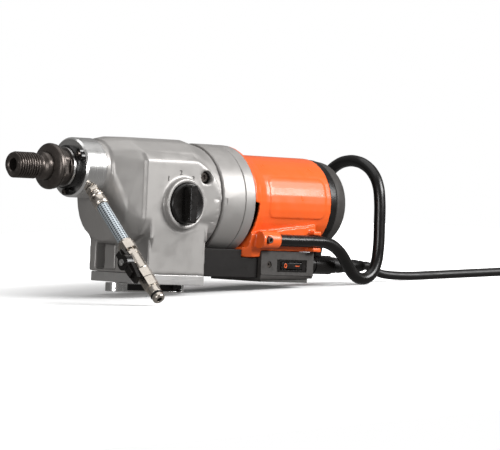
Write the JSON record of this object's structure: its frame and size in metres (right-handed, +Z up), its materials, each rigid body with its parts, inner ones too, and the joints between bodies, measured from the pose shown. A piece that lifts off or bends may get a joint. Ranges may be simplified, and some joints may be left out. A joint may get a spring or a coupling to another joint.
{
  "type": "core drill motor",
  "caption": "Electric core drill motor for a stand: threaded spindle, water feed hose and valve, speed knob, orange motor housing, tube handle and coiled mains cord",
  "frame": {"origin": "on the floor under the middle of the machine's box, cord left out", "axes": "+X towards the rear cap and the cord, +Z up, -Y the side with the speed knob, the switch and the water hose; the machine leans nose-up by 3.93 degrees as it lies on its foot and handle"},
  "size_m": [1.0577, 0.2468, 0.1975],
  "materials": {
    "cast_aluminium": "satin, sand-cast",
    "plate_aluminium": "satin, machined",
    "polished_aluminium": "polished, turned",
    "dark_steel": "blackened, oiled",
    "bright_steel": "ground",
    "nickel_fitting": "nickel plated",
    "copper": "segmented",
    "orange_shell": "semi-gloss",
    "grey_plastic": "fine grain",
    "dark_plastic": "fine grain",
    "black_plastic": "fine grain",
    "black_paint": "powder coat, semi-gloss",
    "black_rubber": "matt",
    "steel_braid": "woven",
    "circuit_board": "lacquered"
  },
  "bodies": {
    "machine": {"gear_housing": "cast_aluminium", "bearing_plate": "cast_aluminium", "mounting_plate": "plate_aluminium", "mounting_foot": "polished_aluminium", "foot_grip_strip": "black_rubber", "foot_latch": "black_plastic", "seal_ring": "bright_steel", "seal_retainer": "black_paint", "retainer_screw_1": "dark_steel", "retainer_screw_2": "dark_steel", "retainer_screw_3": "dark_steel", "water_collar": "polished_aluminium", "spindle_bearing_front": "bright_steel", "spindle_bearing_rear": "bright_steel", "layshaft_bearing": "bright_steel", "motor_flange": "cast_aluminium", "flange_end_ring": "cast_aluminium", "rotor_bearing_front": "bright_steel", "rotor_bearing_rear": "bright_steel", "stator": "bright_steel", "brush_holder_near": "copper", "brush_holder_far": "copper", "motor_housing": "orange_shell", "cap_band": "black_plastic", "rear_cap": "grey_plastic", "box_front_duct": "dark_plastic", "electronics_box": "grey_plastic", "box_screw": "dark_steel", "switch_frame": "black_plastic", "control_board": "circuit_board", "handle_tube": "black_paint", "handle_bolt_near": "dark_steel", "handle_bolt_far": "dark_steel", "hose_fitting": "nickel_fitting", "hose_ferrule": "nickel_fitting", "water_hose": "steel_braid", "hose_nut": "nickel_fitting", "valve_body": "nickel_fitting", "hose_nipple": "nickel_fitting", "nipple_oring": "black_rubber", "housing_screw": "dark_steel", "cable_gland": "black_plastic", "cable_boot": "black_rubber", "mains_cord": "black_rubber", "cord_coil": "black_rubber", "mains_plug": "black_rubber"},
    "spindle_unit": {"spindle": "dark_steel", "spindle_flange_ring": "dark_steel", "spindle_gear": "bright_steel"},
    "layshaft_unit": {"layshaft": "bright_steel", "layshaft_gear": "bright_steel"},
    "rotor_unit": {"rotor_shaft": "bright_steel", "rotor_core": "bright_steel", "commutator": "copper", "cooling_fan": "black_plastic"},
    "speed_knob": {"speed_knob": "black_plastic"},
    "switch_rocker": {"switch_rocker": "black_plastic"},
    "valve_handle": {"valve_ball": "bright_steel", "valve_lever": "black_plastic", "lever_screw": "bright_steel"}
  },
  "joints": [
    {"name": "rotor_spin", "type": "hinge", "parent": "machine", "child": "rotor_unit", "pos_m": [0.11313, 0.04734, 0.10818], "axis": [0.9976, 0, -0.0685], "continuous": true},
    {"name": "layshaft_spin", "type": "hinge", "parent": "machine", "child": "layshaft_unit", "pos_m": [-0.05111, 0.07984, 0.12498], "axis": [0.9976, 0, -0.0685], "continuous": true},
    {"name": "spindle_spin", "type": "hinge", "parent": "machine", "child": "spindle_unit", "pos_m": [-0.27875, 0.04734, 0.16718], "axis": [0.9976, 0, -0.0685], "continuous": true},
    {"name": "speed_selector", "type": "hinge", "parent": "machine", "child": "speed_knob", "pos_m": [-0.0629, -0.02266, 0.11386], "axis": [0, -1, 0], "range_deg": [-45, 45]},
    {"name": "switch_rock", "type": "hinge", "parent": "machine", "child": "switch_rocker", "pos_m": [0.1217, -0.00066, 0.02866], "axis": [0.0685, 0, 0.9976], "range_deg": [0, 12]},
    {"name": "water_valve_turn", "type": "hinge", "parent": "machine", "child": "valve_handle", "pos_m": [-0.20256, -0.07187, 0.05052], "axis": [-0.9976, 0, 0.0685], "range_deg": [0, 90]}
  ],
  "couplings": [
    {"joint": "layshaft_spin", "follows": "rotor_spin", "ratio": -0.375},
    {"joint": "spindle_spin", "follows": "rotor_spin", "ratio": 0.15}
  ]
}
